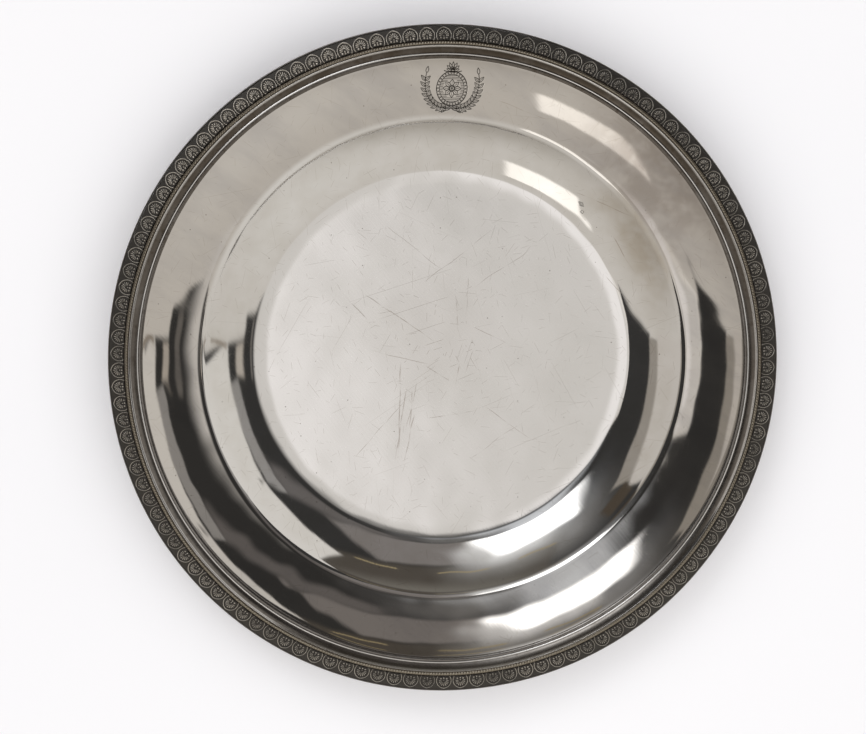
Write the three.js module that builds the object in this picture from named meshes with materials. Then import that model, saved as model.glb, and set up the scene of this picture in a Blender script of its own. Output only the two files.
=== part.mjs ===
// Offering plate: a deep round silver dish with an applied, moulded border.
// Millimetres, +Z up. The plate's axis is Z and the underside of its base lies on z = 0.
//
// The body is one raised sheet. Walking outward from the axis, its upper face is the flat
// floor, the bouge that climbs out of the well, the rounded lip of the well, the hollowed
// marly, and the narrow seat that carries the border. Four strips are soldered on the seat:
// a reeded moulding, a milled wire, the palmette frieze and the wire round the edge.

import * as THREE from 'three';

// Driving dimensions.
const DIAMETER = 250;
const SHEET = 1;
const SOLDER_GAP = 0.3;
const FLOOR_RADIUS = 65;
const FLOOR_BORDER_RADIUS = 69.5;
const BOUGE_START_RADIUS = 72;
const LIP_INNER_RADIUS = 88.8;
const LIP_OUTER_RADIUS = 92.2;
const SEAT_INNER_RADIUS = 111.8;
const SEAT_TURN = 1.6;
const SEAT_CREST_RADIUS = 118.6;
const CREST_TURN = 1;
const MOULDING_INSET = 0.5;

// Slopes of the upper face, in degrees above the horizontal, walking outward.
const FLOOR_BORDER_SLOPE = 4.3;
const BOUGE_START_SLOPE = 18.5;
const BOUGE_TOP_SLOPE = 43;
const MARLY_INNER_SLOPE = 8.5;
const MARLY_OUTER_SLOPE = 36.5;
const SEAT_SLOPE = 5;
const FRIEZE_SLOPE = -20;

// Widths and heights of the applied strips, measured across and above the seat.
const REED_WIDTH = 1.6;
const REED_HEIGHT = 1;
const REED_SHOULDER = 0.3;
const FILLET_WIDTH = 0.5;
const FILLET_HEIGHT = 1.1;
const CAVETTO_WIDTH = 2.6;
const CAVETTO_HEIGHT = 2.3;
const MILLED_WIDTH = 1.5;
const MILLED_HEIGHT = 2.2;
const FRIEZE_HEIGHT = 1.3;
const FRIEZE_GROOVE = 0.4;
const FRIEZE_CAMBER = 0.12;
const EDGE_WIRE_WIDTH = 0.7;
const EDGE_WIRE_HEIGHT = 2.3;
const EDGE_CHAMFER = 0.35;

// Steps of the turned outlines.
const SEGMENTS = 72;
const REED_STEPS = 4;
const CAVETTO_STEPS = 3;
const MILLED_STEPS = 5;

const OUTER_RADIUS = DIAMETER / 2;
const EDGE_WIRE_INNER_RADIUS = OUTER_RADIUS - EDGE_WIRE_WIDTH;
const SHEET_OUTER_RADIUS = EDGE_WIRE_INNER_RADIUS - SOLDER_GAP;

const SILVER = { color: 0xd9d5cd, metalness: 1, roughness: 0.12 };
const WORN_SILVER = { color: 0xc4bfb4, metalness: 1, roughness: 0.24 };
const OXIDISED_SILVER = { color: 0x8a8275, metalness: 1, roughness: 0.42 };

const radians = THREE.MathUtils.degToRad;

// One stretch of the upper face: it starts at a point and a slope and turns evenly to
// another slope at a larger radius. Equal slopes make a straight stretch.
function stretch(start, radiusEnd, slopeEnd, steps) {
  const from = radians(start.slope);
  const to = radians(slopeEnd);
  const run = radiusEnd - start.r;
  const points = [];
  for (let i = 1; i <= steps; i += 1) {
    const share = i / steps;
    if (from === to) {
      const r = start.r + run * share;
      points.push({ r, z: start.z + (r - start.r) * Math.tan(from), slope: slopeEnd });
    } else {
      const bend = run / (Math.sin(to) - Math.sin(from));
      const angle = from + (to - from) * share;
      points.push({
        r: start.r + bend * (Math.sin(angle) - Math.sin(from)),
        z: start.z + bend * (Math.cos(from) - Math.cos(angle)),
        slope: THREE.MathUtils.radToDeg(angle),
      });
    }
  }
  return points;
}

// The upper face of the body, from the axis to the sheet's outer edge.
function upperFace() {
  const points = [
    { r: 0, z: SHEET, slope: 0 },
    { r: FLOOR_RADIUS, z: SHEET, slope: 0 },
  ];
  const walk = (radiusEnd, slopeEnd, steps) => {
    points.push(...stretch(points[points.length - 1], radiusEnd, slopeEnd, steps));
  };
  walk(FLOOR_BORDER_RADIUS, FLOOR_BORDER_SLOPE, 1);
  walk(BOUGE_START_RADIUS, BOUGE_START_SLOPE, 2);
  walk(LIP_INNER_RADIUS, BOUGE_TOP_SLOPE, 5);
  walk(LIP_OUTER_RADIUS, MARLY_INNER_SLOPE, 3);
  walk(SEAT_INNER_RADIUS, MARLY_OUTER_SLOPE, 5);
  walk(SEAT_INNER_RADIUS + SEAT_TURN, SEAT_SLOPE, 2);
  walk(SEAT_CREST_RADIUS, SEAT_SLOPE, 1);
  walk(SEAT_CREST_RADIUS + CREST_TURN, FRIEZE_SLOPE, 2);
  walk(SHEET_OUTER_RADIUS, FRIEZE_SLOPE, 1);
  return points;
}

// A point a given height above the upper face, measured square to it.
function above(point, height) {
  const angle = radians(point.slope);
  return new THREE.Vector2(
    point.r - height * Math.sin(angle),
    point.z + height * Math.cos(angle),
  );
}

// The upper face's height at a radius, between its profile points.
function seatHeight(face, radius) {
  const outer = face.findIndex((point) => point.r >= radius);
  const a = face[outer - 1];
  const b = face[outer];
  return a.z + (b.z - a.z) * ((radius - a.r) / (b.r - a.r));
}

// Turns a closed outline in the (radius, height) plane about the Z axis.
function turned(name, outline, look) {
  const geometry = new THREE.LatheGeometry(outline, SEGMENTS);
  geometry.rotateX(Math.PI / 2);
  const mesh = new THREE.Mesh(geometry, new THREE.MeshStandardMaterial(look));
  mesh.name = name;
  return mesh;
}

// The raised body: its underside out from the axis, then its upper face back.
function plateBody(face) {
  const underside = face.map((point) => above(point, -SHEET));
  underside[0].set(0, 0);
  const top = face.map((point) => above(point, 0)).reverse();
  return turned('plate_body', [...underside, ...top], SILVER);
}

// A strip's outline: its foot follows the seat, and its top is a list of [r, z] steps given
// outward.
function stripOutline(foot, top) {
  const crown = top.map(([r, z]) => new THREE.Vector2(r, z)).reverse();
  return [...foot, ...crown, foot[0].clone()];
}

// A foot of two corners that clears the seat by the solder gap.
function levelFoot(face, innerRadius, outerRadius) {
  const corner = (r) => new THREE.Vector2(r, seatHeight(face, r) + SOLDER_GAP);
  return [corner(innerRadius), corner(outerRadius)];
}

// The inner moulding: a half-round reed, a flat fillet, and a hollow that climbs outward.
function reededMoulding(face) {
  const innerRadius = SEAT_INNER_RADIUS + MOULDING_INSET;
  const filletRadius = innerRadius + REED_WIDTH;
  const cavettoRadius = filletRadius + FILLET_WIDTH;
  const outerRadius = cavettoRadius + CAVETTO_WIDTH;
  const foot = levelFoot(face, innerRadius, outerRadius);
  const innerZ = foot[0].y;
  const outerZ = foot[1].y;
  const top = [];
  for (let i = 0; i < REED_STEPS; i += 1) {
    const turn = Math.PI * (i / REED_STEPS);
    const r = innerRadius + REED_WIDTH * (1 - Math.cos(turn)) / 2;
    top.push([r, innerZ + REED_SHOULDER + (REED_HEIGHT - REED_SHOULDER) * Math.sin(turn)]);
  }
  top.push([filletRadius, innerZ + FILLET_HEIGHT]);
  top.push([cavettoRadius, innerZ + FILLET_HEIGHT]);
  for (let i = 1; i <= CAVETTO_STEPS; i += 1) {
    const turn = (Math.PI / 2) * (i / CAVETTO_STEPS);
    const r = cavettoRadius + CAVETTO_WIDTH * Math.sin(turn);
    const rise = (CAVETTO_HEIGHT - FILLET_HEIGHT) * (1 - Math.cos(turn));
    top.push([r, outerZ + FILLET_HEIGHT + rise]);
  }
  return turned('reeded_moulding', stripOutline(foot, top), SILVER);
}

// The milled wire on the crest of the seat, rounded on top.
function milledWire(face, innerRadius) {
  const outerRadius = innerRadius + MILLED_WIDTH;
  const foot = levelFoot(face, innerRadius, outerRadius);
  const baseZ = Math.max(foot[0].y, foot[1].y);
  const shoulder = MILLED_HEIGHT - MILLED_WIDTH / 2;
  const top = [];
  for (let i = 0; i <= MILLED_STEPS; i += 1) {
    const turn = Math.PI * (i / MILLED_STEPS);
    const r = innerRadius + MILLED_WIDTH * (1 - Math.cos(turn)) / 2;
    top.push([r, baseZ + shoulder + (MILLED_WIDTH / 2) * Math.sin(turn)]);
  }
  return turned('milled_wire', stripOutline(foot, top), WORN_SILVER);
}

// The palmette frieze: a slightly cambered strip that falls outward, with a groove along its
// inner side.
function palmetteBorder(face, innerRadius, outerRadius) {
  const foot = levelFoot(face, innerRadius, outerRadius);
  const width = outerRadius - innerRadius;
  const step = (share, height) => [
    innerRadius + width * share,
    THREE.MathUtils.lerp(foot[0].y, foot[1].y, share) + height,
  ];
  const top = [
    step(0, FRIEZE_HEIGHT - FRIEZE_GROOVE),
    step(0.1, FRIEZE_HEIGHT - FRIEZE_GROOVE),
    step(0.16, FRIEZE_HEIGHT),
    step(0.55, FRIEZE_HEIGHT + FRIEZE_CAMBER),
    step(0.94, FRIEZE_HEIGHT),
    step(1, FRIEZE_HEIGHT - FRIEZE_GROOVE),
  ];
  return turned('palmette_border', stripOutline(foot, top), OXIDISED_SILVER);
}

// The wire that closes the edge, outside the sheet and the frieze.
function edgeWire(face) {
  const sheetZ = face[face.length - 1].z;
  const lowZ = sheetZ - SHEET;
  const highZ = lowZ + EDGE_WIRE_HEIGHT;
  const outline = [
    new THREE.Vector2(EDGE_WIRE_INNER_RADIUS, lowZ),
    new THREE.Vector2(OUTER_RADIUS - EDGE_CHAMFER, lowZ),
    new THREE.Vector2(OUTER_RADIUS, lowZ + EDGE_CHAMFER),
    new THREE.Vector2(OUTER_RADIUS, highZ - EDGE_CHAMFER),
    new THREE.Vector2(OUTER_RADIUS - EDGE_CHAMFER, highZ),
    new THREE.Vector2(EDGE_WIRE_INNER_RADIUS, highZ),
    new THREE.Vector2(EDGE_WIRE_INNER_RADIUS, lowZ),
  ];
  return turned('edge_wire', outline, WORN_SILVER);
}

const face = upperFace();
const mouldingWidth = REED_WIDTH + FILLET_WIDTH + CAVETTO_WIDTH;
const mouldingOuterRadius = SEAT_INNER_RADIUS + MOULDING_INSET + mouldingWidth;
const milledInnerRadius = mouldingOuterRadius + SOLDER_GAP;
const friezeInnerRadius = milledInnerRadius + MILLED_WIDTH + SOLDER_GAP;

const plate = new THREE.Group();
plate.name = 'offering_plate';
plate.add(plateBody(face));
plate.add(reededMoulding(face));
plate.add(milledWire(face, milledInnerRadius));
plate.add(palmetteBorder(face, friezeInnerRadius, SHEET_OUTER_RADIUS));
plate.add(edgeWire(face));

export default plate;
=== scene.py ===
"""Looks of a round silver offering plate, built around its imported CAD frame.

Everything is in metres in the CAD's frame: the plate lies on z = 0, its axis is Z, and the
engraved device on the rim points to +Y. Outlines are worked out in millimetres and scaled.
"""

import math

import bpy
import numpy as np
from mathutils import Matrix, Vector


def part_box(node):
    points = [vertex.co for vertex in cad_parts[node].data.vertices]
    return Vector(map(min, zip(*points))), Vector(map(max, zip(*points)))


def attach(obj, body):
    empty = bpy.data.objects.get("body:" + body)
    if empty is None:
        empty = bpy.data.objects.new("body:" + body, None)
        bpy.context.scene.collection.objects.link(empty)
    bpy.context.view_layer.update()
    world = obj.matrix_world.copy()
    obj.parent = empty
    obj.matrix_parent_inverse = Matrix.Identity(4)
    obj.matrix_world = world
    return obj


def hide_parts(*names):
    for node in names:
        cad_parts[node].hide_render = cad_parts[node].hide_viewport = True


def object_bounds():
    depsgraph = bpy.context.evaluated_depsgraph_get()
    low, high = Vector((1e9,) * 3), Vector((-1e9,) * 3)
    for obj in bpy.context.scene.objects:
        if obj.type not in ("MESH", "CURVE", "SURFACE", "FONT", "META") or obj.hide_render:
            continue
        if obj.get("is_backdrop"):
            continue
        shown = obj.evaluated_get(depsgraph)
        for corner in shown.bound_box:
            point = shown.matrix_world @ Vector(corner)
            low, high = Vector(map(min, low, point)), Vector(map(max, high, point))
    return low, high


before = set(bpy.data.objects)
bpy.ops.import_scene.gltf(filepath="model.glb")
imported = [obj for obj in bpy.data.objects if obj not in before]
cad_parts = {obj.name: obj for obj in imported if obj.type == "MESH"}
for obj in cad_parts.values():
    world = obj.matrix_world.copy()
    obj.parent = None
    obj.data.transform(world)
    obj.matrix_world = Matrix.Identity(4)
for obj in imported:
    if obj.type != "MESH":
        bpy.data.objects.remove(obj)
cad_bounds = [list(corner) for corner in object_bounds()]

MM = 0.001
SEED = 7

# The body's upper face: (radius in mm, slope in degrees), turning evenly from knot to knot.
FACE_KNOTS = (
    (0, 0),
    (65, 0),
    (69.5, 4.3),
    (72, 18.5),
    (88.8, 43),
    (92.2, 8.5),
    (111.8, 36.5),
    (113.4, 5),
    (118.6, 5),
    (119.6, -20),
    (124.3, -20),
)
SHEET = 1.0
PROFILE_STEP = 0.02

# The applied strips, in mm: radii across the seat and heights above it.
REED_INNER = 112.2
REED_OUTER = 113.6
FILLET_INNER = 113.72
FILLET_OUTER = 114.3
CAVETTO_OUTER = 117.3
MILLED_INNER = 117.35
MILLED_OUTER = 118.85
FRIEZE_INNER = 118.9
FRIEZE_OUTER = 124.35
SOLDER = 0.3
EMBED = 0.06

# The palmette frieze, in mm: at the end the height that one palmette is drawn at, the depth of
# its relief, and the largest share of it that wear has taken.
PALMETTES = 122
PALMETTE_COLUMNS = 36
PALMETTE_BASE = 119.1
PALMETTE_TOP = 123.85
PALMETTE_MIDDLE = 121.8
PALMETTE_DRAWN = 4.95
RELIEF_DEPTH = 0.42
WEAR = 0.16

# The engraved device, the two blank punch marks, and the finer patches of mesh under them.
DEVICE_RADIUS = 102.0
DEVICE_ANGLE = math.radians(88.1)
PUNCH_RADIUS = 77.7
PUNCH_ANGLE = math.radians(47.3)
PUNCH_DARKNESS = 0.45
PATCH_FINENESS = 10

BODY_COLUMNS = 432
STRIP_COLUMNS = 720

# The milled wire's teeth: their number, depth in mm, and slant in teeth across the crown.
MILLING_TEETH = 700
MILLING_DEPTH = 0.18
MILLING_SLANT = 1.1


# ---------------------------------------------------------------- outlines


def face_profile():
    """Radius, height and slope of the body's upper face, sampled closely, in mm."""
    radius, height, slope = [0.0], [SHEET], [0.0]
    for (start, slope_from), (end, slope_to) in zip(FACE_KNOTS, FACE_KNOTS[1:]):
        a, b = math.radians(slope_from), math.radians(slope_to)
        share = np.linspace(0, 1, int((end - start) / PROFILE_STEP) + 2)[1:]
        angle = a + (b - a) * share
        if a == b:
            r = start + (end - start) * share
            z = height[-1] + (r - start) * math.tan(a)
        else:
            bend = (end - start) / (math.sin(b) - math.sin(a))
            r = start + bend * (np.sin(angle) - math.sin(a))
            z = height[-1] + bend * (math.cos(a) - np.cos(angle))
        radius.extend(r)
        height.extend(z)
        slope.extend(angle)
    return np.array(radius), np.array(height), np.array(slope)


FACE_R, FACE_Z, FACE_SLOPE = face_profile()


def seat_height(radius):
    """Height of the body's upper face at a radius, in mm."""
    return float(np.interp(radius, FACE_R, FACE_Z))


def smoothstep(low, high, value):
    t = np.clip((value - low) / (high - low), 0, 1)
    return t * t * (3 - 2 * t)


class Planishing:
    """The faint, seeded unevenness that a planishing hammer leaves in a raised sheet."""

    WAVES = 90
    SHORTEST, LONGEST = 9.0, 30.0
    SLOPE = 0.0085

    def __init__(self):
        rng = np.random.default_rng(SEED)
        length = np.exp(rng.uniform(math.log(self.SHORTEST), math.log(self.LONGEST), self.WAVES))
        heading = rng.uniform(0, 2 * math.pi, self.WAVES)
        number = 2 * math.pi / length
        self.kx = number * np.cos(heading)
        self.ky = number * np.sin(heading)
        self.phase = rng.uniform(0, 2 * math.pi, self.WAVES)
        self.size = self.SLOPE * math.sqrt(2 / self.WAVES) / number

    def strength(self, radius):
        """Full on the marly, a little less in the bouge, slight on the floor, none on the seat."""
        floor = 0.35 + 0.45 * smoothstep(62, 74, radius)
        marly = floor + 0.2 * smoothstep(88, 93, radius)
        return marly * (1 - smoothstep(109.5, 112, radius))

    def at(self, x, y, radius):
        """Height and its slopes along x and y, for arrays of points in mm."""
        height = np.zeros_like(x)
        along_x = np.zeros_like(x)
        along_y = np.zeros_like(x)
        for kx, ky, phase, size in zip(self.kx, self.ky, self.phase, self.size):
            turn = kx * x + ky * y + phase
            height += size * np.sin(turn)
            cosine = size * np.cos(turn)
            along_x += kx * cosine
            along_y += ky * cosine
        strength = self.strength(radius)
        return height * strength, along_x * strength, along_y * strength


PLANISHING = Planishing()


# ---------------------------------------------------------------- engraving


def curve(points, steps=14):
    """A Bezier curve through its first and last control points, as a polyline."""
    points = np.array(points, float)
    t = np.linspace(0, 1, steps + 1)[:, None]
    while len(points) > 1:
        points = [a + (b - a) * t for a, b in zip(points[:-1], points[1:])]
    return points[0]


def leaf(base, tip, width, steps=8):
    """The closed outline of a pointed leaf from base to tip, fullest below its middle."""
    base, tip = np.array(base, float), np.array(tip, float)
    along = tip - base
    across = np.array((-along[1], along[0])) / np.hypot(*along)
    t = np.linspace(0, 1, steps + 1)
    swell = (width / 2) * np.sin(math.pi * t**0.8)
    left = base + along * t[:, None] + across * swell[:, None]
    right = base + along * t[:, None] - across * swell[:, None]
    return np.vstack((left, right[::-1]))


def ellipse(centre, across, up, steps=48):
    turn = np.linspace(0, 2 * math.pi, steps + 1)
    return np.column_stack((centre[0] + across * np.cos(turn), centre[1] + up * np.sin(turn)))


def laurel_branch(side):
    """One leafy branch: a stem that rises from the knot, and leaves in pairs along it."""
    stem = curve(((0.5, -8.0), (6.8, -9.9), (11.4, -3.4), (9.7, 4.6)), 40)
    lines = [(stem * (side, 1), 0.26)]
    for index in range(3, 38, 4):
        heading = stem[index + 2] - stem[index]
        heading /= np.hypot(*heading)
        for turn in (0.75, -0.75):
            c, s = math.cos(turn), math.sin(turn)
            way = np.array((heading[0] * c - heading[1] * s, heading[0] * s + heading[1] * c))
            base, tip = stem[index], stem[index] + way * 2.5
            lines.append((leaf(base, tip, 1.1) * (side, 1), 0.22))
            lines.append((np.vstack((base, base + way * 1.8)) * (side, 1), 0.16))
    lines.append((leaf(stem[-1], stem[-1] + (-0.4, 2.4), 1.0) * (side, 1), 0.22))
    return lines


def rosette_medallion():
    """An oval medallion: two rings with beads between them, hatching, and a rosette."""
    centre = np.array((0.0, -1.0))
    lines = [(ellipse(centre, 5.7, 6.4), 0.34), (ellipse(centre, 4.6, 5.3), 0.26)]
    for turn in np.linspace(0, 2 * math.pi, 31)[:-1]:
        bead = centre + (5.15 * math.cos(turn), 5.85 * math.sin(turn))
        lines.append((ellipse(bead, 0.2, 0.2, 8), 0.18))
    for level in np.arange(-4.8, 4.9, 0.6):
        half = 4.4 * math.sqrt(max(0.0, 1 - (level / 5.1) ** 2))
        gap = math.sqrt(max(0.0, 3.5**2 - level**2))
        if half > gap:
            for side in (-1, 1):
                ends = centre + np.array(((side * gap, level), (side * half, level)))
                lines.append((ends, 0.17))
    for index in range(8):
        turn = index * math.pi / 4
        way = np.array((math.cos(turn), math.sin(turn)))
        lines.append((leaf(centre + way * 0.9, centre + way * 3.4, 1.6), 0.24))
        lines.append((np.vstack((centre + way * 1.2, centre + way * 2.6)), 0.16))
    lines.append((ellipse(centre, 0.85, 0.85, 20), 0.26))
    lines.append((ellipse(centre, 0.3, 0.3, 12), 0.3))
    return lines


def fan_crest():
    """A small fan of leaves above the medallion."""
    foot = np.array((0.0, 5.5))
    lines = []
    for index in range(-3, 4):
        turn = math.radians(90 + index * 24)
        way = np.array((math.cos(turn), math.sin(turn)))
        lines.append((leaf(foot + way * 0.5, foot + way * (3.5 - 0.12 * index**2), 1.0), 0.22))
    lines.append((curve(((-3.2, 5.6), (-1.3, 4.9), (1.3, 4.9), (3.2, 5.6))), 0.28))
    return lines


def ribbon(side):
    """Half of the bow that ties the branches, with its loop and its loose end."""
    loop = curve(((0, -8.0), (2.8, -6.6), (4.8, -9.4), (0, -8.4)), 18)
    tail = curve(((0.1, -8.3), (1.2, -9.8), (2.8, -9.0), (4.5, -10.0)), 14)
    return [(line * (side, 1), 0.24) for line in (loop, tail)]


def device_strokes():
    """The engraved device: medallion, crest, laurel branches and ribbon, in mm."""
    lines = rosette_medallion() + fan_crest()
    for side in (-1, 1):
        lines += laurel_branch(side) + ribbon(side)
    return lines


def punch_strokes():
    """Two blank struck marks: a lozenge and a smaller square."""
    lozenge = np.array(((-1.3, 0), (0, 0.75), (1.3, 0), (0, -0.75), (-1.3, 0)))
    inner = lozenge * 0.55
    square = np.array(((-0.5, -0.4), (0.5, -0.4), (0.5, 0.4), (-0.5, 0.4), (-0.5, -0.4)))
    return [(lozenge, 0.24), (inner, 0.3), (square + (2.3, -1.9), 0.26)]


def engrave(lines, u, v):
    """Depth in mm and darkness from 0 to 1 of engraved lines, at arrays of points."""
    depth = np.zeros_like(u)
    dark = np.zeros_like(u)
    for points, width in lines:
        for (x0, y0), (x1, y1) in zip(points[:-1], points[1:]):
            near = (u > min(x0, x1) - width) & (u < max(x0, x1) + width)
            near &= (v > min(y0, y1) - width) & (v < max(y0, y1) + width)
            if not near.any():
                continue
            du, dv = u[near] - x0, v[near] - y0
            dx, dy = x1 - x0, y1 - y0
            share = np.clip((du * dx + dv * dy) / max(dx * dx + dy * dy, 1e-9), 0, 1)
            away = np.hypot(du - share * dx, dv - share * dy)
            cut = 0.3 * width * np.clip(1 - (away / (width / 2)) ** 2, 0, 1)
            depth[near] = np.maximum(depth[near], cut)
            ink = np.clip((width / 2 - away) / 0.09 + 0.7, 0, 1)
            dark[near] = np.maximum(dark[near], ink)
    return depth, dark


# ---------------------------------------------------------------- mesh making


def make_object(name, points, face_groups, normals=None, attributes=None):
    """A smooth mesh object from points in mm and arrays of faces, each array of one size."""
    mesh = bpy.data.meshes.new(name)
    points = np.asarray(points, float) * MM
    mesh.vertices.add(len(points))
    mesh.vertices.foreach_set("co", points.ravel())
    loops = np.concatenate([group.ravel() for group in face_groups])
    sizes = np.concatenate([np.full(len(group), group.shape[1]) for group in face_groups])
    mesh.loops.add(len(loops))
    mesh.loops.foreach_set("vertex_index", loops)
    mesh.polygons.add(len(sizes))
    mesh.polygons.foreach_set("loop_start", np.concatenate(([0], np.cumsum(sizes)[:-1])))
    mesh.polygons.foreach_set("use_smooth", np.ones(len(sizes), bool))
    mesh.update(calc_edges=True)
    for key, values in (attributes or {}).items():
        layer = mesh.attributes.new(key, "FLOAT", "POINT")
        layer.data.foreach_set("value", np.asarray(values, np.float32).ravel())
    if normals is not None:
        mesh.normals_split_custom_set_from_vertices(np.asarray(normals, float))
    made = bpy.data.objects.new(name, mesh)
    bpy.context.scene.collection.objects.link(made)
    return made


def grid_faces(index):
    """Quads over a 2-D array of vertex numbers, rows outward and columns turning left."""
    return np.stack(
        (index[:-1, :-1], index[1:, :-1], index[1:, 1:], index[:-1, 1:]), axis=-1
    ).reshape(-1, 4)


def face_points(radius, angle, groove=None):
    """Points, normals and sheet normals of the body's upper face, for 2-D arrays in mm."""
    slope = np.interp(radius, FACE_R, FACE_SLOPE)
    height = np.interp(radius, FACE_R, FACE_Z)
    x, y = radius * np.cos(angle), radius * np.sin(angle)
    lift, along_x, along_y = PLANISHING.at(x, y, radius)
    out = np.stack((np.cos(angle), np.sin(angle), np.zeros_like(angle)), -1)
    side = np.stack((-np.sin(angle), np.cos(angle), np.zeros_like(angle)), -1)
    up = np.zeros_like(out)
    up[..., 2] = 1
    c, s = np.cos(slope)[..., None], np.sin(slope)[..., None]
    square = out * -s + up * c
    climb = out * c + up * s
    rise_out = np.cos(slope) * (along_x * np.cos(angle) + along_y * np.sin(angle))
    rise_side = along_y * np.cos(angle) - along_x * np.sin(angle)
    if groove is not None:
        lift = lift - groove
        turn_out = np.gradient(groove, axis=0) / np.gradient(radius, axis=0)
        turn_side = np.gradient(groove, axis=1) / np.gradient(angle, axis=1)
        rise_out = rise_out - np.cos(slope) * turn_out
        rise_side = rise_side - turn_side / radius
    normal = square - climb * rise_out[..., None] - side * rise_side[..., None]
    normal /= np.linalg.norm(normal, axis=-1, keepdims=True)
    points = out * radius[..., None] + up * height[..., None] + square * lift[..., None]
    return points, normal, square


def ring_radii(zones):
    """Radii in mm from (end radius, step) zones, starting near the axis."""
    radii = [2.0]
    for end, step in zones:
        count = max(1, round((end - radii[-1]) / step))
        radii.extend(np.linspace(radii[-1], end, count + 1)[1:])
    return np.array(radii)


TOP_ZONES = ((60, 4), (73, 0.65), (88.4, 0.8), (92.6, 0.22), (112, 0.85), (124.3, 1.2))
UNDER_ZONES = ((60, 6), (73, 1.0), (88.4, 1.2), (92.6, 0.45), (112, 1.3), (124.3, 1.6))

# Each patch: centre radius and angle, half its width and height in mm, strokes and darkness.
PATCHES = (
    (DEVICE_RADIUS, DEVICE_ANGLE, 13.0, 10.8, device_strokes(), 1.0),
    (PUNCH_RADIUS, PUNCH_ANGLE, 3.6, 3.0, punch_strokes(), PUNCH_DARKNESS),
)


def patch_cells(radii, angles, patch):
    """The rows and columns of coarse cells that a patch covers."""
    radius, angle, half_width, half_height = patch[:4]
    spread = half_width / (radius - half_height)
    i0, i1 = np.searchsorted(radii, (radius - half_height, radius + half_height))
    j0, j1 = np.searchsorted(angles, (angle - spread, angle + spread))
    return (i0 - 1, i1), (j0 - 1, j1)


def plate_body():
    """The raised sheet as one closed mesh, with finer patches where it is engraved."""
    radii = ring_radii(TOP_ZONES)
    under = ring_radii(UNDER_ZONES)[::-1]
    angles = whole_turn(BODY_COLUMNS) - math.pi / 2
    top, top_normal, _ = face_points(*np.meshgrid(radii, angles, indexing="ij"))
    low, low_normal, square = face_points(*np.meshgrid(under, angles, indexing="ij"))
    low -= square * SHEET
    points = [((0, 0, SHEET), (0, 0, 0)), *top, *low]
    normals = [((0, 0, 1), (0, 0, -1)), *top_normal, *-low_normal]
    rows = len(radii) + len(under)
    total = rows * BODY_COLUMNS + 2
    dark = [np.zeros(total)]
    index = np.arange(2, total).reshape(rows, BODY_COLUMNS)
    wrapped = np.concatenate((index, index[:, :1]), axis=1)
    cell_faces = grid_faces(wrapped).reshape(rows - 1, BODY_COLUMNS, 4)
    covered = np.zeros((rows - 1, BODY_COLUMNS), bool)
    groups, bordering = [], []
    for patch in PATCHES:
        (i0, i1), (j0, j1) = patch_cells(radii, angles, patch)
        fine = patch_mesh(radii, angles, patch, (i0, i1), (j0, j1))
        keep = np.ones(fine["dark"].shape, bool)
        keep[::PATCH_FINENESS, ::PATCH_FINENESS] = False
        fine_index = (total - 1 + np.cumsum(keep)).reshape(keep.shape)
        fine_index[~keep] = index[i0 : i1 + 1, j0 : j1 + 1].ravel()
        points.append(fine["points"][keep])
        normals.append(fine["normals"][keep])
        dark.append(fine["dark"][keep])
        total += int(keep.sum())
        groups.append(grid_faces(fine_index))
        covered[i0:i1, j0:j1] = True
        bordering += border_cells(index, fine_index, (i0, i1), (j0, j1), covered)
    groups.append(cell_faces[~covered])
    groups += bordering
    for centre, turn in ((0, wrapped[0]), (1, wrapped[-1, ::-1])):
        middle = np.full(BODY_COLUMNS, centre)
        groups.append(np.stack((middle, turn[:-1], turn[1:]), -1))
    return make_object(
        "raised_body",
        np.concatenate(points),
        groups,
        np.concatenate(normals),
        {"engraving": np.concatenate(dark)},
    )


def patch_mesh(radii, angles, patch, rows, columns):
    """The fine points of a patch, its normals and its engraved darkness."""
    centre_radius, centre_angle, _, _, strokes, darkness = patch
    fine = []
    for values, (first, last) in ((radii, rows), (angles, columns)):
        place = first + np.arange((last - first) * PATCH_FINENESS + 1) / PATCH_FINENESS
        fine.append(np.interp(place, np.arange(len(values)), values))
    r, phi = np.meshgrid(*fine, indexing="ij")
    u = -r * np.sin(phi - centre_angle)
    v = r * np.cos(phi - centre_angle) - centre_radius
    depth, dark = engrave(strokes, u, v)
    points, normals, _ = face_points(r, phi, depth)
    return {"points": points, "normals": normals, "dark": dark * darkness}


def fine_points(line, cell):
    """The patch's own points along one coarse cell of its edge."""
    return line[cell * PATCH_FINENESS + 1 : (cell + 1) * PATCH_FINENESS]


def border_cells(index, fine_index, rows, columns, covered):
    """The coarse cells round a patch, each with the patch's fine points along one side."""
    (i0, i1), (j0, j1) = rows, columns
    above, below, left, right = [], [], [], []
    for j in range(j0, j1):
        here, beside = index[:, j], index[:, j + 1]
        along = fine_points(fine_index[-1], j - j0)
        above.append([here[i1], here[i1 + 1], beside[i1 + 1], beside[i1], *along[::-1]])
        along = fine_points(fine_index[0], j - j0)
        below.append([here[i0 - 1], here[i0], *along, beside[i0], beside[i0 - 1]])
    for i in range(i0, i1):
        here, beside = index[i], index[i + 1]
        along = fine_points(fine_index[:, 0], i - i0)
        left.append([here[j0 - 1], beside[j0 - 1], beside[j0], *along[::-1], here[j0]])
        along = fine_points(fine_index[:, -1], i - i0)
        right.append([here[j1], *along, beside[j1], beside[j1 + 1], here[j1 + 1]])
    covered[i1, j0:j1] = True
    covered[i0 - 1, j0:j1] = True
    covered[i0:i1, j0 - 1] = True
    covered[i0:i1, j1] = True
    return [np.array(group) for group in (above, below, left, right)]


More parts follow.
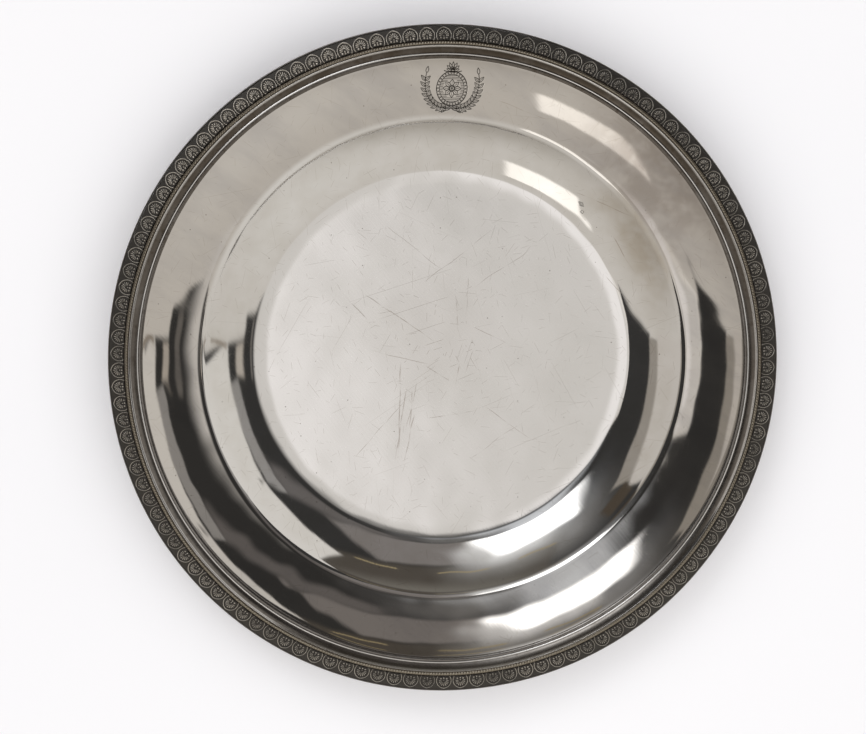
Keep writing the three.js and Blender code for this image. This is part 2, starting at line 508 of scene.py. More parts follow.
def strip_object(name, outline, angles, attributes, lift=0.0, ends=False):
    """A closed outline of (radius, height), its top walked outward, turned through angles.

    The lift raises points square to the outline, for relief. Without ends it is a ring."""
    lift = lift + np.zeros(len(angles))
    along = np.roll(outline, -1, 0) - np.roll(outline, 1, 0)
    along /= np.linalg.norm(along, axis=1, keepdims=True)
    radius = outline[:, :1] - along[:, 1:] * lift
    height = outline[:, 1:] + along[:, :1] * lift
    points = np.stack((radius * np.cos(angles), radius * np.sin(angles), height), -1)
    index = np.arange(radius.size).reshape(radius.shape)
    wrapped = np.concatenate((index, index[:1]))
    if ends:
        groups = [grid_faces(wrapped), np.stack((index[:, 0], index[::-1, -1]))]
    else:
        groups = [grid_faces(np.concatenate((wrapped, wrapped[:, :1]), axis=1))]
    return make_object(name, points.reshape(-1, 3), groups, None, attributes)


def whole_turn(columns):
    return np.linspace(0, 2 * math.pi, columns + 1)[:-1]


# ---------------------------------------------------------------- the applied strips


def bend_points(start, radius_end, slope_from, slope_to, steps):
    """Points along an even turn from a start point, between two slopes in degrees."""
    a, b = math.radians(slope_from), math.radians(slope_to)
    bend = (radius_end - start[0]) / (math.sin(b) - math.sin(a))
    turns = np.linspace(a, b, steps + 1)[1:]
    radius = start[0] + bend * (np.sin(turns) - math.sin(a))
    height = start[1] + bend * (math.cos(a) - np.cos(turns))
    return list(zip(radius, height))


def reeded_moulding():
    """Low reed, fillet and hollow, as one drawn strip soldered on the seat."""
    level = seat_height(REED_INNER + 0.4) + SOLDER
    reed_start = (REED_INNER, level + 0.45)
    reed = [reed_start] + bend_points(reed_start, REED_OUTER, 40, -16, 12)
    groove = [(REED_OUTER + 0.02, level + 0.42), (FILLET_INNER - 0.03, level + 0.42)]
    fillet = [
        (FILLET_INNER, level + 0.98),
        (FILLET_INNER + 0.07, level + 1.07),
        (FILLET_INNER + 0.3, level + 1.1),
        (FILLET_OUTER - 0.08, level + 1.07),
        (FILLET_OUTER, level + 0.98),
    ]
    hollow_start = (FILLET_OUTER + 0.03, level + 0.55)
    hollow = [hollow_start] + bend_points(hollow_start, CAVETTO_OUTER - 0.12, 20, 52, 18)
    clean_edge = np.interp(np.arange(len(hollow)), (12, 16), (1.0, 0.12))
    crest = hollow[-1][1]
    edge = [(CAVETTO_OUTER - 0.05, crest + 0.05), (CAVETTO_OUTER, crest - 0.02)]
    foot = [
        (CAVETTO_OUTER, seat_height(CAVETTO_OUTER) - EMBED),
        (REED_INNER, seat_height(REED_INNER) - EMBED),
    ]
    parts = ((reed, 0.95), (groove, 1), (fillet, 0), (hollow, clean_edge), (edge, 0), (foot, 1))
    outline = np.array([point for part, _ in parts for point in part])
    tarnish = np.concatenate([amount + np.zeros(len(part)) for part, amount in parts])
    values = np.repeat(tarnish, STRIP_COLUMNS)
    return strip_object("reeded_strip", outline, whole_turn(STRIP_COLUMNS), {"hollow": values})


def milled_wire():
    """Round-topped wire, cut with fine slanting teeth on its crown."""
    base = seat_height((MILLED_INNER + MILLED_OUTER) / 2)
    half = (MILLED_OUTER - MILLED_INNER) / 2
    top = [(MILLED_INNER, base + 0.6)]
    for turn in np.linspace(0.08 * math.pi, 0.92 * math.pi, 13):
        radius = MILLED_INNER + half * (1 - math.cos(turn))
        top.append((radius, base + 1.75 + half * math.sin(turn) * 0.95))
    top.append((MILLED_OUTER, base + 0.6))
    foot = [(MILLED_OUTER, base - 0.25), (MILLED_INNER, base - 0.25)]
    outline = np.array(top + foot)
    angles = whole_turn(MILLING_TEETH * 4)
    across = (outline[:, 0] - MILLED_INNER) / (2 * half)
    crown = slice(1, len(top) - 1)
    crowned = np.zeros(len(outline))
    crowned[crown] = np.sin(math.pi * np.clip(across[crown], 0, 1))
    wave = np.cos(angles * MILLING_TEETH + MILLING_SLANT * 2 * math.pi * across[:, None])
    lift = MILLING_DEPTH / 2 * (wave - 1) * crowned[:, None]
    flank = np.clip((0.97 - crowned) / 0.25, 0, 1)
    notch = np.maximum((1 - wave) / 2, flank[:, None]).ravel()
    return strip_object("milled_crown_wire", outline, angles, {"hollow": notch}, lift)


def edge_wire():
    """Plain wire outside the frieze, rounded above and below."""
    inner, outer = FRIEZE_OUTER + 0.02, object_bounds()[1].x / MM
    low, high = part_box("edge_wire")
    low, high = low.z / MM, high.z / MM
    half = (outer - inner) / 2
    outline = []
    for middle, start, end in ((high - half, math.pi, 0), (low + half, 0, -math.pi)):
        for turn in np.linspace(start, end, 11):
            outline.append((inner + half * (1 + math.cos(turn)), middle + half * math.sin(turn)))
    angles = whole_turn(STRIP_COLUMNS)
    plain = {"hollow": np.zeros(len(outline) * STRIP_COLUMNS)}
    return strip_object("rounded_edge_wire", np.array(outline), angles, plain)


def distance_to_line(x, y, line):
    """Distance from arrays of points to a polyline."""
    best = np.full_like(x, 1e9)
    for (x0, y0), (x1, y1) in zip(line[:-1], line[1:]):
        dx, dy = x1 - x0, y1 - y0
        share = np.clip(((x - x0) * dx + (y - y0) * dy) / (dx * dx + dy * dy), 0, 1)
        best = np.minimum(best, np.hypot(x - x0 - share * dx, y - y0 - share * dy))
    return best


def dome(distance, radius, height):
    return height * np.sqrt(np.clip(1 - (distance / radius) ** 2, 0, 1))


def palmette_relief(x, y):
    """Height in mm of one palmette, with x across from its middle and y up from its foot."""
    x = np.abs(x)
    frame_line = curve(((0, 4.86), (1.9, 4.5), (3.2, 3.0), (2.95, 1.0), (2.35, 0.08)), 26)
    height = dome(distance_to_line(x, y, frame_line), 0.19, 0.38)
    volute = np.hypot(x - 1.1, y - 0.85)
    height = np.maximum(height, dome(volute, 0.44, 0.42) - 0.2 * np.exp(-((volute / 0.14) ** 2)))
    height = np.maximum(height, dome(np.hypot(x, y - 0.65), 0.38, 0.44))
    height = np.maximum(height, dome(np.hypot(x, (y - 1.45) * 0.7), 0.3, 0.34))
    y = y - 1.75
    for index in range(5):
        turn = math.radians(90 - index * 23.0)
        reach = 1.35 - 0.1 * index
        along = x * math.cos(turn) + y * math.sin(turn) - 0.75
        off = x * math.sin(turn) - y * math.cos(turn)
        share = np.clip(along / reach, 0, 1)
        near = np.hypot(off, along - share * reach)
        height = np.maximum(height, dome(near, 0.12 + 0.14 * share, 0.38))
    return height


def frieze_ground(share):
    """Height of the frieze's ground above its foot line, with a groove along its inner side."""
    groove = 0.5 * (1 - smoothstep(0.0, 0.05, share))
    camber = 0.12 * math.sin(math.pi * min(1, max(0, share)))
    return SOLDER + 1.3 - groove + camber


def palmette_strips():
    """The frieze in two soldered lengths, each with its palmettes in relief."""
    width = FRIEZE_OUTER - FRIEZE_INNER
    inner_z, outer_z = seat_height(FRIEZE_INNER), seat_height(FACE_KNOTS[-1][0] - 0.1)
    shares = np.concatenate((np.linspace(0.01, 0.09, 4), np.linspace(0.105, 0.985, 34)))
    top = [(FRIEZE_INNER, inner_z + 0.5)]
    for share in shares:
        level = inner_z + (outer_z - inner_z) * share
        top.append((FRIEZE_INNER + width * share, level + frieze_ground(share)))
    top.append((FRIEZE_OUTER, outer_z + 0.95))
    foot = [(FRIEZE_OUTER, outer_z - 0.5), (FRIEZE_INNER, inner_z - EMBED - 0.3)]
    outline = np.array(top + foot)
    pitch = 2 * math.pi * PALMETTE_MIDDLE / PALMETTES
    tile = (np.arange(PALMETTE_COLUMNS) / PALMETTE_COLUMNS - 0.5) * pitch
    y = (outline[:, 0] - PALMETTE_BASE) * PALMETTE_DRAWN / (PALMETTE_TOP - PALMETTE_BASE)
    relief = palmette_relief(*np.meshgrid(tile, y))
    relief[:2] = 0
    relief[len(top) - 1 :] = 0
    halves = []
    columns = PALMETTES // 2 * PALMETTE_COLUMNS
    rng = np.random.default_rng(SEED + 1)
    for number in (0, 1):
        angles = (number * columns + np.arange(columns + 1)) * math.pi / columns
        wear = 1 - WEAR * rng.random(PALMETTES // 2)
        lift = np.concatenate([relief * share for share in wear], axis=1)
        lift = np.concatenate((lift, lift[:, :1]), axis=1)
        tops = {"relief": np.clip(lift / RELIEF_DEPTH, 0, 1).ravel()}
        name = f"palmette_strip_{number + 1}"
        halves.append(strip_object(name, outline, angles, tops, lift, ends=True))
    return halves


# ---------------------------------------------------------------- shader helpers


def linear(red, green, blue, gain=1.0):
    """A display colour, 0 to 255, as a linear colour."""
    channels = [((level / 255 + 0.055) / 1.055) ** 2.4 * gain for level in (red, green, blue)]
    return (*channels, 1.0)


BRIGHT_SILVER = linear(248, 247, 246)
HAZED_SILVER = linear(243, 242, 240)
RIM_SILVER = linear(226, 222, 217)


class Nodes:
    """Adds nodes to one shader tree. Inputs are values or sockets."""

    def __init__(self, tree):
        self.tree = tree

    def add(self, kind, inputs=None, **settings):
        node = self.tree.nodes.new(kind)
        for key, value in settings.items():
            setattr(node, key, value)
        for key, value in (inputs or {}).items():
            self.put(node, key, value)
        return node

    def math(self, operation, a, b=0.0, clamp=False):
        node = self.add("ShaderNodeMath", {0: a, 1: b}, operation=operation, use_clamp=clamp)
        return node.outputs[0]

    def times(self, *factors):
        """The product of values and sockets."""
        product = factors[0]
        for factor in factors[1:]:
            product = self.math("MULTIPLY", product, factor)
        return product

    def vector(self, operation, a, b=None):
        inputs = {0: a} if b is None else {0: a, 1: b}
        return self.add("ShaderNodeVectorMath", inputs, operation=operation)

    def distance(self, place, point):
        return self.vector("DISTANCE", place, point).outputs["Value"]

    def parts(self, vector):
        return self.add("ShaderNodeSeparateXYZ", {0: vector}).outputs

    def attribute(self, name):
        return self.add("ShaderNodeAttribute", attribute_name=name).outputs["Fac"]

    def mix(self, share, a, b):
        """A colour from a to b."""
        node = self.add("ShaderNodeMix", {0: share, 6: a, 7: b}, data_type="RGBA")
        return node.outputs[2]

    def step(self, value, low, high, bottom=0.0, top=1.0):
        """A smooth step of a value from low to high, given as bottom to top."""
        inputs = {"Value": value, "From Min": low, "From Max": high}
        inputs.update({"To Min": bottom, "To Max": top})
        return self.add("ShaderNodeMapRange", inputs, interpolation_type="SMOOTHSTEP").outputs[0]

    def noise(self, vector, scale, detail=2.0, roughness=0.5, dimensions="3D"):
        inputs = {"Vector": vector, "Scale": scale, "Detail": detail, "Roughness": roughness}
        node = self.add("ShaderNodeTexNoise", inputs, noise_dimensions=dimensions)
        return node.outputs["Fac"]

    def cells(self, vector, scale):
        """The nearest cell of a random pattern in the plane."""
        inputs = {"Vector": vector, "Scale": scale}
        return self.add("ShaderNodeTexVoronoi", inputs, voronoi_dimensions="2D").outputs

    def channels(self, colour):
        return self.add("ShaderNodeSeparateColor", {0: colour}).outputs

    def put(self, node, key, value):
        """Links a socket to an input, or sets the input to a value."""
        if isinstance(value, bpy.types.NodeSocket):
            self.tree.links.new(value, node.inputs[key])
        else:
            node.inputs[key].default_value = value

    def group(self, tree, inputs):
        return self.add("ShaderNodeGroup", inputs, node_tree=tree).outputs[0]

    def millimetres(self):
        """The object's own coordinates, in mm."""
        place = self.vector("SCALE", self.add("ShaderNodeTexCoord").outputs["Object"])
        self.put(place, "Scale", 1 / MM)
        return place.outputs[0]

    def turned(self, vector, angle):
        """Coordinates turned about Z."""
        inputs = {"Vector": vector, "Angle": angle}
        return self.add("ShaderNodeVectorRotate", inputs, rotation_type="Z_AXIS").outputs[0]

    def stretched(self, vector, turn, scale):
        """Coordinates turned about Z and scaled, for marks that run one way."""
        return self.vector("MULTIPLY", self.turned(vector, turn), scale).outputs[0]

    def metal(self, shader, colour, rough, bump, bump_strength, bump_depth):
        """Makes the shader a metal, with a bump of a given strength and depth in metres."""
        inputs = {"Strength": bump_strength, "Distance": bump_depth, "Height": bump}
        self.put(shader, "Base Color", colour)
        self.put(shader, "Metallic", 1.0)
        self.put(shader, "Roughness", rough)
        self.put(shader, "Normal", self.add("ShaderNodeBump", inputs).outputs[0])


def new_group(name, vectors, numbers):
    """A node group with the named inputs and one mask to give, and its input and output nodes."""
    tree = bpy.data.node_groups.new(name, "ShaderNodeTree")
    for kind, labels in (("NodeSocketVector", vectors), ("NodeSocketFloat", numbers)):
        for label in labels:
            tree.interface.new_socket(label, in_out="INPUT", socket_type=kind)
    tree.interface.new_socket("Mask", in_out="OUTPUT", socket_type="NodeSocketFloat")
    n = Nodes(tree)
    return tree, n, n.add("NodeGroupInput").outputs, n.add("NodeGroupOutput")


# ---------------------------------------------------------------- materials


def material(name):
    made = bpy.data.materials.new(name)
    made.use_nodes = True
    tree = made.node_tree
    return made, Nodes(tree), tree.nodes["Principled BSDF"]


def scratch_group():
    """The larger of a given mask and one scratch between two points of the plate, in mm."""
    vectors, numbers = ("Place", "Start", "Run"), ("Length", "Width", "Waver", "Others")
    tree, n, given, result = new_group("scratch", vectors, numbers)
    offset = n.vector("SUBTRACT", given["Place"], given["Start"]).outputs[0]
    share = n.vector("DOT_PRODUCT", offset, given["Run"]).outputs["Value"]
    share = n.math("DIVIDE", share, given["Length"])
    off = n.parts(n.vector("CROSS_PRODUCT", given["Run"], offset).outputs[0])["Z"]
    off = n.math("ABSOLUTE", n.math("ADD", off, given["Waver"]))
    line = n.step(off, given["Width"], 0.0)
    ends = n.times(n.step(share, 0.0, 0.15), n.step(share, 1.0, 0.75))
    n.put(result, 0, n.math("MAXIMUM", n.times(line, ends), given["Others"]))
    return tree


# Finish of the body: its polish, and how much duller the floor is.
POLISH = 0.05
FLOOR_DULLING = 0.055

# Centres of tarnish and wear, the radius of the middle of the well's wall, and the centre of the
# frieze's painted highlight, in mm.
WALL_MIDDLE = 79.0
TARNISH_PATCH = (84.0, 71.0, 0.0)
STAIN_PATCH = (72.0, 42.0, 0.0)
WORN_MIDDLE = (-4.0, 8.0, 0.0)
FRIEZE_GLINT_PLACE = (-62.0, 105.0, 25.0)

# The longest scratches, in mm: start x and y, heading in degrees, length, width.
SCRATCHES = (
    (-15, -2, -92, 38, 0.34),
    (-13, -12, -99, 32, 0.32),
    (-9, -10, -103, 20, 0.26),
    (-10, -22, -102, 21, 0.34),
    (-11, -13, -93, 16, 0.24),
    (-6, -24, 7, 20, 0.24),
    (-27, 2, -14, 24, 0.22),
    (-6, -4, -33, 12, 0.22),
    (-30, 24, -34, 36, 0.24),
    (-36, 22, -46, 12, 0.26),
    (12, 11, -28, 17, 0.2),
    (16, -20, -34, 30, 0.2),
    (5, 23, -84, 13, 0.34),
    (10, 30, -92, 16, 0.22),
    (7, -4, -102, 8, 0.3),
    (12, 2, -106, 11, 0.22),
    (-22, 50, -38, 30, 0.16),
    (20, 48, -142, 40, 0.16),
    (34, 40, -146, 26, 0.16),
    (-34, -40, 48, 34, 0.16),
    (10, -40, 34, 28, 0.16),
    (64, 46, -58, 18, 0.3),
    (50, 62, -24, 24, 0.24),
    (62, 30, -48, 16, 0.24),
    (20, 96, -20, 22, 0.2),
)


def random_scratch_group():
    """Mask of one short scratch in each cell of a random pattern, each on its own heading."""
    tree, n, given, result = new_group("random_scratches", ("Place",), ("Cell", "Width"))
    scale = n.math("DIVIDE", 1.0, given["Cell"])
    cells = n.cells(given["Place"], scale)
    offset = n.vector("SUBTRACT", given["Place"], cells["Position"]).outputs[0]
    chance = n.channels(cells["Color"])
    run = n.parts(n.turned(offset, n.times(chance[0], math.pi)))
    line = n.step(n.math("ABSOLUTE", run["Y"]), given["Width"], 0.0)
    reach = n.times(given["Cell"], n.step(chance[1], 0.0, 1.0, 0.15, 0.8))
    along = n.math("DIVIDE", n.math("ABSOLUTE", run["X"]), reach)
    n.put(result, 0, n.times(line, n.step(along, 1.0, 0.5), n.step(chance[2], 0.3, 1.0)))
    return tree


# Layers of hairlines: spacing, width and strength of each, in mm.
HAIRLINES = ((34, 0.13, 0.8), (23, 0.13, 0.8), (13, 0.13, 0.8), (6, 0.13, 1.0), (3, 0.13, 1.0))


def hairlines(n, flat):
    """Fine scratches on every heading, from long to short, as a mask."""
    scratches = random_scratch_group()
    mask = 0.0
    for cell, width, strength in HAIRLINES:
        place = n.vector("ADD", flat, (cell * 7.3, cell * 4.1, 0.0)).outputs[0]
        own = n.group(scratches, {"Place": place, "Cell": float(cell), "Width": width})
        mask = n.math("MAXIMUM", n.times(own, strength), mask)
    return mask


def body_scratches(n, flat):
    """The placed scratches, slightly wavering and broken, as a mask."""
    waver = n.noise(flat, 0.07, 1.0, dimensions="2D")
    waver = n.times(n.math("SUBTRACT", waver, 0.5), 1.6)
    scratch = scratch_group()
    mask = 0.0
    for x, y, heading, length, width in SCRATCHES:
        angle = math.radians(heading)
        inputs = {
            "Place": flat,
            "Start": (x, y, 0),
            "Run": (math.cos(angle), math.sin(angle), 0),
            "Length": length,
            "Width": width,
            "Waver": waver,
            "Others": mask,
        }
        mask = n.group(scratch, inputs)
    broken = n.step(n.noise(flat, 0.16, 2.0, dimensions="2D"), 0.3, 0.62, 0.1, 1.0)
    return n.times(mask, broken)


def specks(n, flat):
    """A small dark speck in a few cells of a random pattern, as a mask."""
    cells = n.cells(flat, 0.17)
    chance = n.channels(cells["Color"])[0]
    return n.times(n.step(cells["Distance"], 0.05, 0.02), n.step(chance, 0.86, 1.0))


def tarnish_masks(n, place, flat, radius, rim):
    """Where tarnish lies: the rim's patch, the well's wall, the wall's stain, the rim's veil."""
    cloud = n.noise(place, 0.11, 2.0, 0.6)
    patch = n.step(n.distance(flat, TARNISH_PATCH), 52.0, 6.0)
    patch = n.times(patch, n.step(cloud, 0.3, 0.6, 0.45, 1.0), rim)
    off_middle = n.math("ABSOLUTE", n.math("SUBTRACT", radius, WALL_MIDDLE))
    wall = n.times(n.step(off_middle, 10, 7), n.step(cloud, 0.2, 0.8))
    stain = n.step(n.distance(flat, STAIN_PATCH), 34.0, 6.0)
    stain = n.times(stain, n.step(cloud, 0.25, 0.7, 0.4, 1.0))
    stain = n.times(stain, n.step(radius, 74.0, 86.0), n.step(rim, 1.0, 0.0))
    streaks = n.noise(n.stretched(flat, 0.6, (0.02, 0.05, 0.0)), 1.0, 4.0, 0.65)
    return patch, wall, stain, n.times(rim, n.step(streaks, 0.4, 0.68))


def polished_silver():
    """The body: polished silver with tarnish, hairlines, scratches, specks and engraving."""
    made, n, shader = material("polished_silver")
    place = n.millimetres()
    flat = n.vector("MULTIPLY", place, (1.0, 1.0, 0.0)).outputs[0]
    radius = n.vector("LENGTH", flat).outputs["Value"]
    floor = n.step(radius, 70.0, 60.0)
    rim = n.step(radius, 89.5, 92.0)
    haze = n.noise(place, 0.03, 3.0, 0.6)

    patch, wall, stain, veil = tarnish_masks(n, place, flat, radius, rim)
    worn_middle = n.step(n.distance(flat, WORN_MIDDLE), 34.0, 4.0)
    fine = n.times(hairlines(n, flat), n.step(worn_middle, 0.0, 1.0, 0.6, 1.0))
    marks = body_scratches(n, flat)
    speck = specks(n, flat)
    engraving = n.attribute("engraving")

    silver = n.mix(n.step(haze, 0.38, 0.68), BRIGHT_SILVER, HAZED_SILVER)
    layers = (
        (rim, 1.0, RIM_SILVER),
        (patch, 0.78, linear(168, 159, 152)),
        (wall, 0.26, linear(214, 209, 199)),
        (stain, 0.55, linear(192, 177, 152)),
        (veil, 0.4, linear(192, 189, 189)),
        (worn_middle, 0.16, linear(190, 184, 176)),
        (fine, 0.5, linear(160, 146, 128)),
        (marks, 0.42, linear(150, 128, 106)),
        (speck, 0.7, linear(110, 98, 84)),
        (engraving, 1.0, linear(50, 46, 42)),
    )
    for mask, strength, colour in layers:
        silver = n.mix(n.times(mask, strength), silver, colour)

    rough = POLISH
    dulled = (
        (floor, FLOOR_DULLING),
        (n.step(haze, 0.4, 0.75), 0.03),
        (fine, 0.14),
        (marks, 0.12),
        (speck, 0.12),
        (patch, 0.05),
        (engraving, 0.4),
    )
    for mask, added in dulled:
        rough = n.math("ADD", rough, n.times(mask, added), clamp=True)

    wipe = n.noise(n.stretched(flat, 0.9, (0.08, 1.6, 0.0)), 1.0, 1.0, dimensions="2D")
    n.metal(shader, silver, rough, wipe, 0.1, 0.00002)
    return made


def strip_silver(name, bright, tarnish, polish, hold):
    """Silver of an applied strip. Tarnish holds in its hollows, and painted shade deepens it towards
    the +Y side.
    """
    made, n, shader = material(name)
    place = n.millimetres()
    patchy = n.noise(place, 0.06, 4.0, 0.65)
    # painted shade: the hollows' darkening grows from -Y to +Y, standing in for the shade on the
    # side turned from the light
    side = n.step(n.parts(place)["Y"], -70.0, 115.0, 0.86, 1.0)
    share = n.times(n.attribute("hollow"), hold, side, n.step(patchy, 0.3, 0.6, 0.93, 1.0))
    share = n.math("ADD", share, n.step(n.noise(place, 0.5, 3.0), 0.5, 0.75, 0.0, 0.06), clamp=True)
    rough = n.math("ADD", polish, n.times(share, 0.2), clamp=True)
    n.metal(shader, n.mix(share, bright, tarnish), rough, patchy, 0.15, 0.00003)
    return made


def oxidised_silver():
    """The frieze: dark oxide on its ground, rubbed bright on the tops of the relief, and brighter
    round one place by a painted highlight.
    """
    made, n, shader = material("oxidised_silver")
    place = n.millimetres()
    grain = n.noise(place, 3.0, 2.0)
    level = n.attribute("relief")
    additions = (
        n.step(n.noise(place, 0.05, 4.0, 0.6), 0.3, 0.7, -0.05, 0.08),
        n.times(n.math("SUBTRACT", grain, 0.5), 0.25),
        # painted highlight: more of the frieze turns bright silver round a place at -X, +Y, where
        # its relief catches the light
        n.times(n.step(n.distance(place, FRIEZE_GLINT_PLACE), 85.0, 25.0), 0.28),
    )
    for addition in additions:
        level = n.math("ADD", level, addition)
    wear_and_glint = n.step(level, 0.4, 0.95)
    ground = n.mix(grain, linear(74, 72, 70), linear(102, 99, 95))
    silver = n.mix(wear_and_glint, ground, linear(214, 208, 198))
    rough = n.math("ADD", n.step(wear_and_glint, 0.0, 1.0, 0.5, 0.25), n.times(grain, 0.06))
    n.metal(shader, silver, rough, grain, 0.3, 0.00004)
    return made


def floor_material():
    made, n, shader = material("pale_floor")
    place = n.add("ShaderNodeTexCoord").outputs["Object"]
    tone = n.mix(n.noise(place, 2.0), linear(232, 232, 236), linear(238, 238, 241))
    n.put(shader, "Base Color", tone)
    n.put(shader, "Roughness", 0.6)
    n.put(shader, "Specular IOR Level", 0.0)
    return made


# ---------------------------------------------------------------- studio


# Soft-edged cards round the plate, on a chart of directions: the axis is at its centre, and a
# place's distance from it is its angle from the axis in degrees. Each card: centre, half size,
# roll, softness, display colour. Later cards lie over earlier ones.
CARDS = (
    ("pale_table", (0, -100), (140, 90), 0, 1.2, (198, 193, 186)),
    ("table_left", (-78, -66), (30, 44), 0, 24, (172, 166, 158)),
    ("table_far", (-10, -96), (54, 22), 0, 18, (158, 152, 143)),
    ("table_right", (38, -46), (22, 20), 0, 20, (208, 204, 198)),
    ("gap_left", (-38, -9.5), (12, 5), -12, 1.2, (52, 51, 50)),
    ("gap_right", (32, -8), (12, 5), -6, 1.2, (52, 51, 50)),
    ("front_card_left", (-15.2, -7), (8.6, 7.5), -9, 1.0, (228, 223, 216)),
    ("front_card", (-3, -7), (20, 6), -4, 1.2, (209, 205, 200)),
    ("front_card_end", (14, -6), (10, 7), 0, 7, (204, 200, 195)),
    ("front_card_glow", (-6, -7.8), (8, 6.5), 9, 1.9, (236, 232, 229)),
    ("left_haze", (-34, 46), (12, 14), 20, 14, (122, 120, 118)),
    ("softbox_glow", (-20, 38), (9, 9), 18, 16, (188, 190, 193)),
    ("glow_streak", (-8, 14.5), (5.5, 12), 34, 4.5, (208, 210, 213)),
    ("glow_low", (1, 18), (4, 9), 0, 8, (120, 118, 116)),
    ("back_wall", (6, 38.8), (14, 11.5), 0, 2, (122, 117, 114)),
    ("back_wall_side", (19, 38), (5, 11.5), 17, 2, (122, 117, 114)),
    ("back_wall_low", (26, 23), (17, 4.5), 0, 3, (100, 96, 94)),
    ("ceiling", (12, 80), (46, 28.5), 0, 3, (78, 73, 67)),
    ("ceiling_far", (-4, 98), (60, 27), 0, 8, (112, 108, 101)),
    ("softbox_spill", (-17, 54), (15, 8), 16, 12, (146, 144, 141)),
    ("softbox_halo", (-14.5, 41.5), (11, 10.5), 24, 6, (214, 213, 212)),
    ("left_band", (-54, 12), (5.5, 22), -4, 1.0, (146, 140, 132)),
    ("left_wall", (-91, 12), (33, 25), 0, 1.5, (190, 184, 177)),
    ("left_shelf", (-55, 41), (5, 6), -35, 1.5, (74, 66, 57)),
    ("right_grey", (50.5, 14), (4.6, 14.5), 17, 1.0, (144, 141, 138)),
    ("right_wall", (89, 14.5), (33, 20), 9, 1.2, (210, 206, 200)),
    ("right_wall_far", (86, 38), (30, 20), 22, 1.2, (210, 206, 200)),
    ("right_wall_high", (64.4, 57), (26, 16), 36.5, 1.2, (210, 206, 200)),
    ("table_edge", (70, -11.5), (10, 0.8), -14, 0.8, (136, 126, 114)),
    ("right_lamp", (47.5, -5.5), (3.4, 3.4), 0, 1.5, (176, 168, 158)),
    ("right_box", (34.5, -7), (2.5, 5), 0, 1.5, (104, 100, 96)),
    ("lamp_left", (-26, 52), (6.5, 0.5), 12, 0.5, (158, 144, 112)),
    ("lamp_middle", (-2.5, 57.7), (7.5, 0.5), 0, 0.5, (158, 144, 112)),
    ("lamp_right", (22, 54.8), (6.5, 0.5), -10, 0.5, (158, 144, 112)),
    ("softbox", (-17.6, 32.2), (11.4, 9.2), 30, 3.2, (255, 255, 255)),
    ("softbox_in_table", (-19.5, -41), (9.5, 7.5), -14, 1.2, (255, 250, 243)),
)
# The only cards brighter than their display colour.
CARD_GAINS = {"softbox": 2.6, "softbox_in_table": 1.2}
ROOM_TONE = linear(52, 51, 50)
BACKDROP = linear(247, 247, 249)


def card_group():
    """Mask of a soft-edged rectangle on the chart of directions."""
    vectors = ("Chart", "Centre", "Half size")
    tree, n, given, result = new_group("studio_card", vectors, ("Roll", "Softness"))
    offset = n.vector("SUBTRACT", given["Chart"], given["Centre"]).outputs[0]
    reach = n.vector("ABSOLUTE", n.turned(offset, given["Roll"])).outputs[0]
    beyond = n.parts(n.vector("SUBTRACT", reach, given["Half size"]).outputs[0])
    edge = n.times(given["Softness"], -1.0)
    across = n.step(beyond["X"], given["Softness"], edge)
    up = n.step(beyond["Y"], given["Softness"], edge)
    n.put(result, 0, n.times(across, up))
    return tree


def studio_world():
    """Soft cards for reflections, and a plain pale backdrop beyond the floor."""
    world = bpy.data.worlds.new("studio")
    bpy.context.scene.world = world
    world.use_nodes = True
    n = Nodes(world.node_tree)
    world.node_tree.nodes.clear()
    world.cycles.sampling_method = "NONE"
    direction = n.add("ShaderNodeTexCoord").outputs["Generated"]
    flat = n.vector("MULTIPLY", direction, (1.0, 1.0, 0.0)).outputs[0]
    angle = n.times(n.math("ARCCOSINE", n.parts(direction)["Z"]), 180 / math.pi)
    reach = n.math("MAXIMUM", n.vector("LENGTH", flat).outputs["Value"], 1e-4)
    chart = n.vector("SCALE", flat)
    n.put(chart, "Scale", n.math("DIVIDE", angle, reach))
    cards = card_group()
    light = ROOM_TONE
    for name, centre, half, roll, softness, colour in CARDS:
        inputs = {
            "Chart": chart.outputs[0],
            "Centre": (*centre, 0),
            "Half size": (*half, 0),
            "Roll": math.radians(-roll),
            "Softness": softness,
        }
        shade = linear(*colour, CARD_GAINS.get(name, 1.0))
        light = n.mix(n.group(cards, inputs), light, shade)
    studio = n.add("ShaderNodeBackground", {"Color": light, "Strength": 1.0})
    backdrop = n.add("ShaderNodeBackground", {"Color": BACKDROP, "Strength": 1.0})
    seen = n.add("ShaderNodeLightPath").outputs["Is Camera Ray"]
    shown = n.add("ShaderNodeMixShader", {0: seen, 1: studio.outputs[0], 2: backdrop.outputs[0]})
    n.add("ShaderNodeOutputWorld", {"Surface": shown.outputs[0]})


# The floor's size and its gap to the plate's base, and the lamp above it, in metres and watts.
FLOOR_SIZE = 4.6
FLOOR_GAP = 0.0002
LAMP_SIZE = 8.0
LAMP_HEIGHT = 3.0
LAMP_WATTS = 212.0


def studio_floor():
    """A wide pale floor under the plate."""
    half = FLOOR_SIZE / 2
    mesh = bpy.data.meshes.new("floor")
    corners = [(-half, -half, 0), (half, -half, 0), (half, half, 0), (-half, half, 0)]
    mesh.from_pydata(corners, [], [(0, 1, 2, 3)])
    mesh.materials.append(floor_material())
    floor = bpy.data.objects.new("floor", mesh)
    floor.location.z = -FLOOR_GAP
    bpy.context.scene.collection.objects.link(floor)
    floor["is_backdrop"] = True


def overhead_light():
    """A large soft light for the floor. The silver doesn't mirror it."""
    lamp = bpy.data.lights.new("overhead", "AREA")
    lamp.shape = "SQUARE"
    lamp.size = LAMP_SIZE
    lamp.energy = LAMP_WATTS
    made = bpy.data.objects.new("overhead", lamp)
    made.location = (0, 0, LAMP_HEIGHT)
    made.visible_camera = False
    made.visible_glossy = False
    bpy.context.scene.collection.objects.link(made)


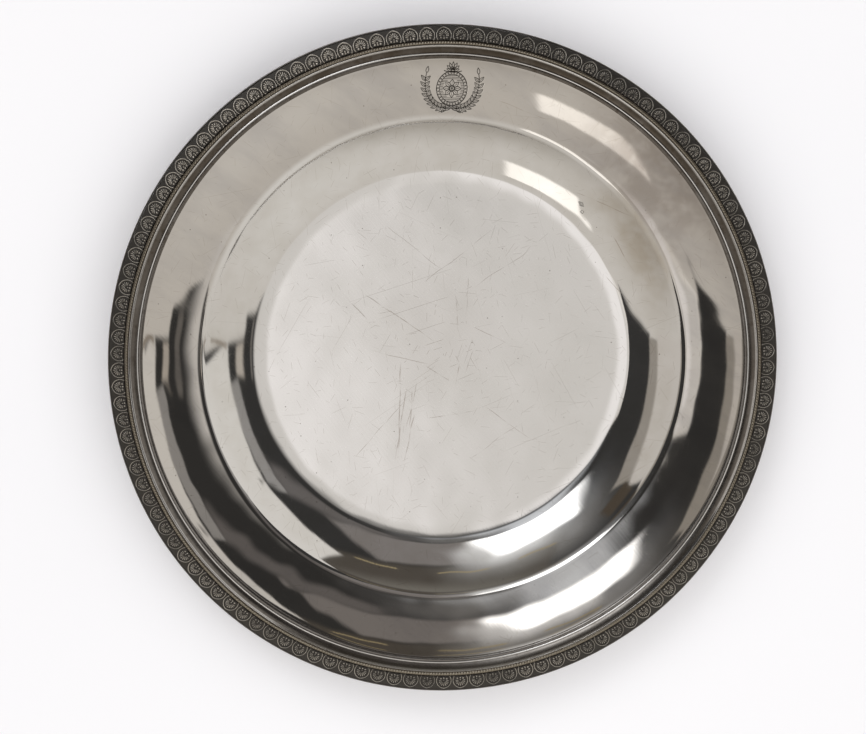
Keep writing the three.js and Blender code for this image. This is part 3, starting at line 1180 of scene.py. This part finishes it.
# The camera: its distance in metres, its lean off the plate's axis along x and y, the plate's
# share of the picture's width, and how far it aims beside the plate's middle, in mm.
CAMERA_DISTANCE = 1.5
CAMERA_LEAN = (-0.047, 0.094)
PLATE_SHARE_OF_WIDTH = 0.7735
SENSOR = 36.0
AIM_OFFSET = (-3.96, -2.66)


def studio_camera():
    """Looks down into the plate from just beyond its engraved side."""
    x, y = CAMERA_LEAN
    back = Vector((x, y, math.sqrt(1 - x * x - y * y)))
    middle = Vector((0, 0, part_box("edge_wire")[1].z))
    place = middle + back * CAMERA_DISTANCE
    right = Vector((0, 1, 0)).cross(back).normalized()
    up = back.cross(right)
    target = middle + right * AIM_OFFSET[0] * MM + up * AIM_OFFSET[1] * MM
    look = (place - target).normalized()
    right = Vector((0, 1, 0)).cross(look).normalized()
    up = look.cross(right)
    data = bpy.data.cameras.new("camera")
    data.sensor_width = SENSOR
    diameter = cad_bounds[1][0] - cad_bounds[0][0]
    data.lens = SENSOR * CAMERA_DISTANCE * PLATE_SHARE_OF_WIDTH / diameter
    data.clip_start = 0.05
    data.clip_end = 50.0
    camera = bpy.data.objects.new("camera", data)
    camera.matrix_world = Matrix.Translation(place) @ Matrix((right, up, look)).transposed().to_4x4()
    bpy.context.scene.collection.objects.link(camera)
    bpy.context.scene.camera = camera


# ---------------------------------------------------------------- assembly


def place_piece(piece, finish, node):
    piece.data.materials.append(finish)
    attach(piece, "root")
    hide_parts(node)


def build_plate():
    silver = polished_silver()
    moulding = strip_silver("moulding_silver", BRIGHT_SILVER, linear(90, 82, 73), 0.07, 1.0)
    wire = strip_silver("worn_silver", linear(206, 197, 180), linear(84, 75, 64), 0.16, 0.95)
    edge = strip_silver("edge_silver", linear(128, 124, 120), linear(96, 92, 88), 0.32, 0.5)
    place_piece(plate_body(), silver, "plate_body")
    place_piece(reeded_moulding(), moulding, "reeded_moulding")
    place_piece(milled_wire(), wire, "milled_wire")
    place_piece(edge_wire(), edge, "edge_wire")
    frieze = oxidised_silver()
    for strip in palmette_strips():
        place_piece(strip, frieze, "palmette_border")


build_plate()
studio_camera()
studio_world()
studio_floor()
overhead_light()

scene = bpy.context.scene
scene.view_settings.view_transform = "Standard"
scene.cycles.use_denoising = True
